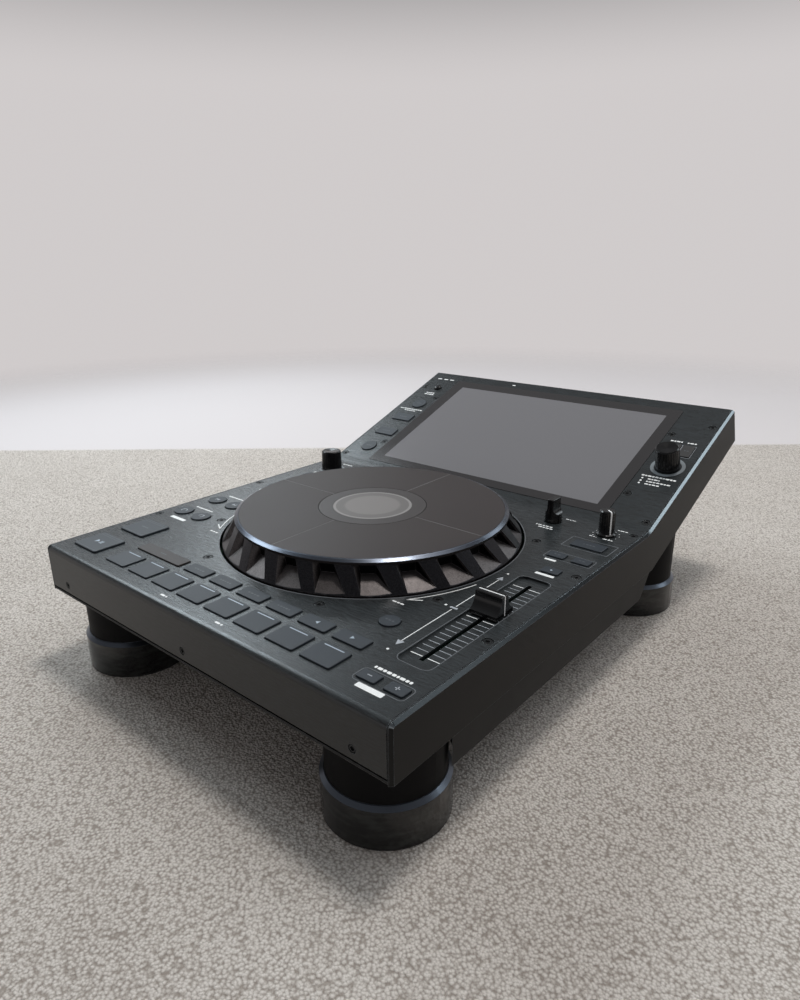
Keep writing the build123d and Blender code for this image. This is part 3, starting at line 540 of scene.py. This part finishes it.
# ------------------------------------------------------------------ flat and thin pieces
class Sheet:
    """Flat shapes on one surface, joined into one thin piece that rides on a body."""
    sunk = 0.02    # how far its underside is inside the surface

    def __init__(self, name, place, material, body="root", level=0.0, thick=0.05):
        self.name, self.place, self.material, self.body = name, place, material, body
        self.low, self.high = level - self.sunk, level + thick
        self.mesh = bmesh.new()

    def ring(self, points, height):
        """An outline's points at a height."""
        return [self.mesh.verts.new(self.place @ Vector((x * mm, y * mm, height * mm))) for x, y in points]

    def shape(self, outline):
        """A filled outline."""
        low, high = self.ring(outline, self.low), self.ring(outline, self.high)
        self.mesh.faces.new(high)
        self.mesh.faces.new(low[::-1])
        self.skirt(low, high)

    def band(self, outer, inner):
        """What lies between two outlines with as many points each."""
        rings = [self.ring(points, height) for points in (outer, inner) for height in (self.low, self.high)]
        outer_low, outer_high, inner_low, inner_high = rings
        self.skirt(outer_low, outer_high)
        self.skirt(inner_high, inner_low)
        self.skirt(outer_high, inner_high)
        self.skirt(inner_low, outer_low)

    def skirt(self, low, high):
        """Strip of faces between two rings of points."""
        for i in range(len(low)):
            self.mesh.faces.new((low[i - 1], low[i], high[i], high[i - 1]))

    def frame(self, x, y, size_x, size_y, corner, line):
        """Thin rectangular frame, line wide."""
        outer = rounded_box(x, y, size_x, size_y, corner)
        self.band(outer, rounded_box(x, y, size_x - 2 * line, size_y - 2 * line, max(0.05, corner - line)))

    def caption(self, x, y, length, height, first):
        """Row of short dashes where a printed word is left out. First says which dash starts it."""
        lengths, gap, shortest = (2.4, 1.5, 3.0, 1.9, 2.7), 0.55, 0.8
        start, end, count = x - length / 2, x + length / 2, first
        while start < end - shortest:
            dash = min(lengths[count % len(lengths)], end - start)
            self.shape(rounded_box(start + dash / 2, y, dash, height, height * 0.3))
            start += dash + gap
            count += 1

    def keep(self):
        """Make the piece."""
        make_piece(self.name, self.mesh, self.material, self.body)


def place_in_scene(name, data):
    """Object of a mesh, light or camera, in the scene."""
    made = bpy.data.objects.new(name, data)
    bpy.context.scene.collection.objects.link(made)
    return made


def make_object(name, mesh, material):
    """Turn a bmesh into an object."""
    data = bpy.data.meshes.new(name)
    mesh.to_mesh(data)
    mesh.free()
    data.materials.append(material)
    return place_in_scene(name, data)


def make_piece(name, mesh, material, body):
    """Turn a bmesh into a piece that rides on a body."""
    bmesh.ops.recalc_face_normals(mesh, faces=mesh.faces)
    piece = make_object(name, mesh, material)
    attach(piece, body)


def ribbon(name, path, width, thick, place, material, body):
    """Narrow strip along a path of (across, up) points in the x-z plane of a place, proud to its left."""
    sunk, top_share = 0.05, 0.8
    mesh, rings = bmesh.new(), []
    for point, side in mitred(path):
        low, high = point - side * sunk, point + side * thick
        corners = [(low, -1), (high, -top_share), (high, top_share), (low, 1)]
        rings.append([mesh.verts.new(place @ Vector((p.x * mm, w * width / 2 * mm, p.y * mm)))
                      for p, w in corners])
    for before, after in zip(rings, rings[1:]):
        for i in range(4):
            mesh.faces.new((before[i - 1], before[i], after[i], after[i - 1]))
    mesh.faces.new(rings[0])
    mesh.faces.new(rings[-1][::-1])
    make_piece(name, mesh, material, body)


# ------------------------------------------------------------------ light lines and signs on the buttons
def button_mark(node, place, material, shapes, name=None):
    """A sign on a button's top: shapes are outlines round the button's middle."""
    x, y, top = cap_top(node, place)
    mark = Sheet(name or node + "_mark", place, material, body_of(node), top)
    for outline in shapes:
        mark.shape([(x + dx, y + dy) for dx, dy in outline])
    mark.keep()


def mark_buttons(place, signs):
    """The signs of a table: button, then ink and outlines."""
    for name, (material, shapes) in signs.items():
        button_mark(name, place, material, shapes)


def dashes(length, height=1.1):
    """Short dashes where a button's word is left out."""
    count = max(2, round(length / 2.4))
    pitch = length / count
    return [rounded_box((i - (count - 1) / 2) * pitch, 0, pitch * (0.55 + 0.2 * (i % 2)), height, 0.3)
            for i in range(count)]


def triangle(x, y, reach, way):
    """Triangle pointing along x, way 1 or -1."""
    back, half = x - way * reach / 2, reach * 0.62
    return [(back, y + half), (back, y - half), (x + way * reach / 2, y)]


def jump_sign(way):
    """Round arrow, way 1 or -1."""
    bend = arc(0, 0, 2.3, 90 + way * 100, 90 - way * 150, 16)
    return [stroke(bend, 0.6), triangle(way * 2.0, 1.6, 1.8, way)]


def skip_sign(way):
    """Triangle that runs against a bar, way 1 or -1."""
    return [triangle(-way * 0.6, 0, 2.6, way), rounded_box(way * 1.5, 0, 0.7, 3.2, 0.2)]


# light line along the far edge of each pad
pad_line_length, pad_line_inset, pad_line_shift = 14.2, 1.9, -0.3
for number in range(1, 9):
    name = f"pad_{number}"
    low, high = cap_box(name, deck)
    line_y = (high.y - low.y) / 2 - pad_line_inset
    light_line = rounded_box(pad_line_shift, line_y, pad_line_length, 0.75, 0.3)
    button_mark(name, deck, blue_guide, [light_line], name + "_light_line")

# sign, frame and rule on the two large buttons
pause_bars = [rounded_box(x, 0, 0.9, 3.6, 0.2) for x in (1.6, 3.4)]
large_signs = {
    "play_button": (blue_guide, [triangle(-2.2, 0, 3.4, 1), *pause_bars]),
    "cue_button": (faint_ink, dashes(8.5, 1.5)),
}
mark_buttons(deck, large_signs)
frame_inset, rule_inset, rule_end_inset = 1.3, 3.4, 1.7
for name in large_signs:
    low, high = cap_box(name, deck)
    x, y, top = cap_top(name, deck)
    size_x, size_y = high.x - low.x, high.y - low.y
    edge_line = Sheet(name + "_frame_line", deck, faint_ink, body_of(name), top)
    edge_line.frame(x, y, size_x - 2 * frame_inset, size_y - 2 * frame_inset, 0.8, 0.35)
    edge_line.shape(rounded_box(x, high.y - rule_inset, size_x - 2 * rule_end_inset, 0.3, 0.1))
    edge_line.keep()

# signs on the other buttons
minus_bar, plus_bar = rounded_box(0, 0.2, 3.0, 0.55, 0.2), rounded_box(0, 0.2, 0.55, 3.0, 0.2)
deck_signs = {
    "mode_button_1": (faint_ink, dashes(10.5)),
    "mode_button_2": (faint_ink, dashes(11.5)),
    "mode_button_3": (faint_ink, dashes(10.5)),
    "mode_button_4": (faint_ink, dashes(11.5)),
    "shift_button": (faint_ink, dashes(7)),
    "parameter_left_button": (blue_guide, [triangle(0, 0.4, 2.4, -1)]),
    "parameter_right_button": (blue_guide, [triangle(0, 0.4, 2.4, 1)]),
    "bend_down_button": (grey_ink, [minus_bar]),
    "bend_up_button": (grey_ink, [minus_bar, plus_bar]),
    "layer_button": (faint_ink, dashes(7)),
    "wide_deck_button": (faint_ink, dashes(9.5)),
    "deck_button_1": (blue_guide, [circle(0, 0, 0.75, 24)]),
    "deck_button_2": (faint_ink, dashes(5.5, 0.9)),
    "deck_button_3": (faint_ink, dashes(5.5, 0.9)),
    "beat_back_button": (grey_ink, jump_sign(-1)),
    "beat_forward_button": (grey_ink, jump_sign(1)),
    "skip_back_button": (grey_ink, skip_sign(-1)),
    "skip_forward_button": (grey_ink, skip_sign(1)),
    "loop_in_button": (faint_ink, dashes(6)),
    "loop_out_button": (faint_ink, dashes(6)),
}
slope_signs = {
    "column_round_button_1": (faint_ink, dashes(6.5)),
    "column_round_button_2": (faint_ink, dashes(6.5)),
    "column_oblong_button_1": (faint_ink, dashes(9)),
    "column_oblong_button_2": (faint_ink, dashes(9)),
    "back_button": (faint_ink, dashes(4.5, 0.9)),
    "forward_button": (faint_ink, dashes(4.5, 0.9)),
}
mark_buttons(deck, deck_signs)
mark_buttons(slope, slope_signs)

# ------------------------------------------------------------------ print on the flat deck
def light_ring(node, place, outer, inner, thick):
    """Light ring between two radii round a knob. Thick is how far it stands proud."""
    x, y, _ = cap_top(node, place)
    ring = Sheet(node + "_ring", place, ring_guide, thick=thick)
    ring.band(circle(x, y, outer, 96), circle(x, y, inner, 96))
    ring.keep()


left_column = cap_top("play_button", deck).x
plate_low, plate_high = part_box("fader_plate")
fader_x = (plate_low.x + plate_high.x) / 2 / mm
fader_level = (plate_high.z - deck_z) / mm

# captions: middle x and y, length, height, and which dash comes first
deck_captions = (
    (-133.6, 114.4, 20.5, 1.6, 0),     # behind the jump buttons
    (-134.9, 146.8, 18.0, 1.6, 1),     # behind the skip buttons
    (-129.3, 274.0, 12.5, 1.6, 2),     # behind the loop knob
    (135.0, 31.0, 24.0, 2.0, 1),       # pitch bend
    (93.4, 252.0, 14.0, 1.4, 1),       # direction lever
    (96.0, 248.6, 11.5, 1.4, 2),
    (104.0, 274.4, 9.0, 1.0, 0),
    (130.4, 255.6, 5.6, 1.2, 0),       # stop time knob
    (141.6, 255.4, 7.2, 1.4, 2),
    (143.4, 277.2, 7.6, 1.2, 1),
)
# white chips: middle x and y, width, depth, corner
deck_chips = (
    *((left_column, y, 12.0, 3.0, 0.6) for y in (175.0, 217.0, 239.0)),    # along the left column
    (-132.7, 89.4, 17.4, 3.2, 0.6),    # in front of the jump buttons
    (134.4, 14.3, 17.0, 3.6, 0.6),     # in front of the pitch bend buttons
    (127.0, 200.0, 8.2, 2.4, 0.5),     # by the three small buttons
    (135.6, 177.0, 13.0, 2.7, 0.5),
    (-27.5, 8.2, 4.2, 1.5, 0.6),       # two small signs by the front edge
    (26.0, 8.2, 4.2, 1.5, 0.6),
)
# dots: x, y, radius
deck_dots = (
    (-23.9, 8.2, 0.8), (29.6, 8.2, 0.8),                              # by the two small signs
    (117.0, 47.5, 0.85), (111.3, 105.6, 0.85), (117.1, 163.6, 0.85),  # by the fader arrow
)

# arrows round the platter, one each side, and a short caption by each; their angles run from its front
swing_radius, swing_start, swing_turn = 113.6, 52.0, 24.0
barb_across, barb_back = 8.3, 5.1
print_white = Sheet("deck_print_white", deck, white_ink)
for side in (-1, 1):
    tip = 270.0 + side * swing_start
    swing = arc(0, platter_row, swing_radius, tip, tip + side * swing_turn)
    tip_x, tip_y = swing[0]
    print_white.shape(stroke(swing, 0.7))
    print_white.shape(stroke([(tip_x, tip_y), (tip_x + side * barb_across, tip_y + barb_back)], 0.9))
    print_white.caption(side * 88.2, 90.0, 8.6, 1.3, 2)
for caption in deck_captions:
    print_white.caption(*caption)
for chip in deck_chips:
    print_white.shape(rounded_box(*chip))
for dot in deck_dots:
    print_white.shape(circle(*dot, 20))
print_white.keep()

# double arrow of the pitch fader
arrow_x, arrow_middle = 117.3, 105.2
head_length, head_half, line_inset, middle_gap = 4.8, 2.3, 4.0, 2.2
fader_arrow = Sheet("fader_arrow_line", deck, white_ink)
fader_heads = Sheet("fader_arrow_heads", deck, grey_ink)
for tip_y, inward in ((53.3, 1), (157.9, -1)):
    line_end, line_start = tip_y + inward * line_inset, arrow_middle - inward * middle_gap
    fader_arrow.shape(stroke([(arrow_x, line_end), (arrow_x, line_start)], 0.55))
    back_y = tip_y + inward * head_length
    fader_heads.shape([(arrow_x, tip_y), (arrow_x - head_half, back_y), (arrow_x + head_half, back_y)])
fader_heads.shape(rounded_box(arrow_x, arrow_middle, 5.2, 1.7, 0.4))
fader_arrow.keep()
fader_heads.keep()

# scale on the sunk fader plate
fader_scale = Sheet("fader_scale", deck, white_ink, level=fader_level)
fine_scale = Sheet("fader_scale_fine", deck, grey_ink, level=fader_level)
scale_front, scale_step, step_count = 55.0, 5.0, 21
tick_offset, tick_length = 5.55, 7.7    # two ticks a step, one each side of the slot
for step in range(step_count):
    scale, tick_width = (fader_scale, 0.6) if step % 10 == 0 else (fine_scale, 0.42)
    tick_y = scale_front + scale_step * step
    for side in (-1, 1):
        scale.shape(rounded_box(fader_x + side * tick_offset, tick_y, tick_length, tick_width, 0.15))
fader_scale.keep()
fine_scale.keep()

# outlines round groups of buttons and round the fader recess, and a thin ring round the hole of the
# platter; the recess frame and the ring are painted highlights along those edges
platter_hole = 109.85
# middle x and y, width, depth, corner, line
deck_frames = (
    (136.1, 22.2, 33.2, 12.0, 3.0, 0.4),          # pitch bend buttons
    (fader_x, 105.75, 22.7, 125.8, 5.1, 0.35),    # fader recess
    (136.3, 209.0, 33.9, 12.4, 1.5, 0.4),         # two small buttons
    (136.7, 237.4, 34.2, 19.6, 0.8, 0.5),         # wide button
)
outlines = Sheet("deck_outlines_and_edge_highlights", deck, outline_ink_and_edge_highlight, thick=0.04)
for deck_frame in deck_frames:
    outlines.frame(*deck_frame)
# painted highlight: a thin light ring along the edge of the platter's hole
outlines.band(*(circle(0, platter_row, platter_hole + gap, 180) for gap in (0.75, 0.15)))
outlines.keep()

light_ring("loop_knob", deck, outer=11.6, inner=9.9, thick=0.25)

# dots round the stop time knob, with their angles and its pointer's in degrees
stop_x, stop_y, _ = cap_top("stop_time_knob", deck)
pointer_turn, first_dot, last_dot = -39, -51, 249
dot_count, dot_circle = 11, 9.4
stop_dots = Sheet("stop_time_dots", deck, white_ink)
for x, y in arc(stop_x, stop_y, dot_circle, first_dot, last_dot, dot_count - 1):
    stop_dots.shape(circle(x, y, 0.42, 14))
stop_dots.keep()

# ------------------------------------------------------------------ print on the slope
slope_captions = (
    (-138.6, 136.6, 11.0, 1.5, 0),     # by the domed button
    (-138.6, 133.6, 11.8, 1.5, 2),
    (-138.4, 101.4, 28.5, 1.4, 0),     # by the oblong buttons
    (-138.0, 98.6, 14.5, 1.3, 3),
    (133.4, 119.3, 10.0, 1.5, 0),      # behind the back and forward buttons
    (146.8, 119.3, 8.8, 1.5, 1),
    (139.6, 66.0, 27.4, 1.7, 0),       # select knob
)
slope_chips = (
    *((x, 166.8, 5.2, 1.5, 0.6) for x in (-147.1, -138.9, -131.1)),    # in the left rear corner
    (-55.8, 172.6, 3.6, 1.5, 0.5),
)
slope_print = Sheet("slope_print_white", slope, white_ink)
for caption in slope_captions:
    slope_print.caption(*caption)
for chip in slope_chips:
    slope_print.shape(rounded_box(*chip))
# list of three lines by the select knob, each with its dot
list_dot_x, list_left, list_top, list_step = 128.0, 132.4, 62.2, 3.4
for row, length in enumerate((9.5, 20.0, 13.0)):
    y = list_top - list_step * row
    slope_print.caption(list_left + length / 2, y, length, 1.3, row)
    slope_print.shape(circle(list_dot_x, y, 0.9, 18))
slope_print.keep()

light_ring("select_knob", slope, outer=13.4, inner=10.6, thick=0.3)

# frames round the two small arrow buttons
arrow_frames = Sheet("arrow_button_frames", slope, grey_ink)
for name in ("back_button", "forward_button"):
    x, y, _ = cap_top(name, slope)
    arrow_frames.frame(x, y, 10.9, 17.6, 0.8, 0.32)
arrow_frames.keep()

# ------------------------------------------------------------------ pointer lines on the knob and fader cap
# from the middle of the knob's top, over its edge and down its side
stop_path = [(0.4, 18.8), (4.2, 18.8), (4.75, 18.75), (5.4, 18.1), (5.52, 17.6), (5.78, 2.6), (6.0, 1.9)]
stop_turn = Matrix.Rotation(radians(pointer_turn), 4, "Z")
stop_place = deck @ Matrix.Translation((stop_x * mm, stop_y * mm, 0)) @ stop_turn
ribbon("stop_time_pointer", stop_path, width=1.15, thick=0.12, place=stop_place, material=white_ink,
       body=body_of("stop_time_knob"))

# up one side of the cap, over its top and down the other side
cap_low, cap_high = cap_box("fader_cap", deck)
cap_x, cap_y, cap_height = cap_top("fader_cap", deck)
cap_half = (cap_high.x - cap_low.x) / 2
cap_place = deck @ Matrix.Translation((cap_x * mm, cap_y * mm, 0))
right_side = [(cap_half, -0.3), (cap_half, cap_height - 0.7), (cap_half - 0.2, cap_height - 0.2),
              (cap_half - 0.7, cap_height)]
cap_path = [(-x, height) for x, height in right_side] + right_side[::-1]
ribbon("fader_cap_line", cap_path, width=0.95, thick=0.06, place=cap_place, material=white_ink,
       body=body_of("fader_cap"))

# ------------------------------------------------------------------ floor, lights and camera
camera_yaw, camera_pitch, camera_roll = radians(-40.151), radians(-19.435), radians(-0.447)
carpet_end = 0.503    # metres from the object's middle, along the camera's heading
floor_reach = 1.7


def pale_floor():
    """Pale tufted carpet that ends at a pale bare floor, which fades into the room's colour."""
    f = Finish("pale_floor")
    tufts = 1 - f.add("TexVoronoi", {"Vector": f.place, "Scale": 620.0}, out="Distance")
    pile = f.noise(800, 3, 0.75)
    drift = f.noise(9, 3)
    tone = tufts * 0.46 + pile * 0.46 + drift * 0.08
    colour = f.mix((0.36, 0.318, 0.282), (0.79, 0.745, 0.70), f.ramp(tone, 0.28, 0.68))
    ahead = f.y * cos(camera_yaw) + f.x * sin(camera_yaw)
    bare = f.ramp(ahead, carpet_end - 6 * mm, carpet_end + 6 * mm)
    colour = f.mix(colour, (0.68, 0.645, 0.65), bare)
    edge = 1 - f.ramp(f.radius_from(0, 0), 0.6 * floor_reach, floor_reach)
    return f.surface(colour, 0.95, tone * (1 - bare), 1.8 * mm, Alpha=edge, Specular_IOR_Level=0.2)


floor_mesh = bmesh.new()
bmesh.ops.create_circle(floor_mesh, cap_ends=True, segments=96, radius=floor_reach)
floor = make_object("floor", floor_mesh, pale_floor())


def soft_light(name, place, size, radiance, colour):
    """Rectangular soft light at a place, aimed at the object, as bright as a surface of that radiance."""
    data = bpy.data.lights.new(name, "AREA")
    data.shape, data.color = "RECTANGLE", colour
    data.size, data.size_y = size
    data.energy = radiance * pi * size[0] * size[1]
    light = place_in_scene(name, data)
    light.location = place
    light.rotation_euler = place.to_track_quat("Z", "Y").to_euler()
    light.visible_camera = False


def toward(azimuth, height, distance):
    """Point in a direction from the object: azimuth from +Y towards +X, and height, in degrees."""
    around, above = radians(azimuth), radians(height)
    return Vector((sin(around) * cos(above), cos(around) * cos(above), sin(above))) * distance


window_colour = (0.86, 0.95, 1.0)
soft_light("wall_light", toward(-56, 28, 1.6), (0.40, 0.26), 4.0, window_colour)
soft_light("window_light", toward(-87, 43, 1.5), (0.95, 0.38), 8.4, window_colour)
soft_light("back_window_light", toward(25, 36, 2.2), (2.0, 0.45), 3.0, window_colour)
soft_light("ceiling_light", toward(37, 64, 2.6), (1.0, 1.0), 2.0, (1.0, 0.985, 0.97))
soft_light("ceiling_lamp", toward(20, 82, 2.4), (0.36, 0.36), 52.0, (1.0, 0.965, 0.93))

world = bpy.data.worlds.new("pale_room")
room = Shading(world, "Generated")
walls, ceiling = (0.63, 0.60, 0.60), (0.18, 0.18, 0.185)
walls_end, ceiling_start = radians(10), radians(22)    # heights seen from the object
room_colour = room.mix(walls, ceiling, room.ramp(room.z, sin(walls_end), sin(ceiling_start)))
shade = room.add("Background", {"Color": room_colour, "Strength": 1.0})
room.add("OutputWorld", {"Surface": shade})
bpy.context.scene.world = world

camera_place = Vector((0.33318, -0.43266, 0.28624))
camera_data = bpy.data.cameras.new("camera")
camera_data.sensor_width, camera_data.lens = 36.0, 26.01
camera_data.clip_start, camera_data.clip_end = 0.01, 30.0
heading = Vector((sin(camera_yaw), cos(camera_yaw), 0))
ahead = heading * cos(camera_pitch) + Vector((0, 0, sin(camera_pitch)))
level = Vector((heading.y, -heading.x, 0))
upright = level.cross(ahead)
right = level * cos(camera_roll) + upright * sin(camera_roll)
up = upright * cos(camera_roll) - level * sin(camera_roll)
turn = Matrix((right, up, -ahead)).transposed().to_4x4()
camera = place_in_scene("camera", camera_data)
camera.matrix_world = Matrix.Translation(camera_place) @ turn
bpy.context.scene.camera = camera
bpy.context.scene.view_settings.view_transform = "Standard"
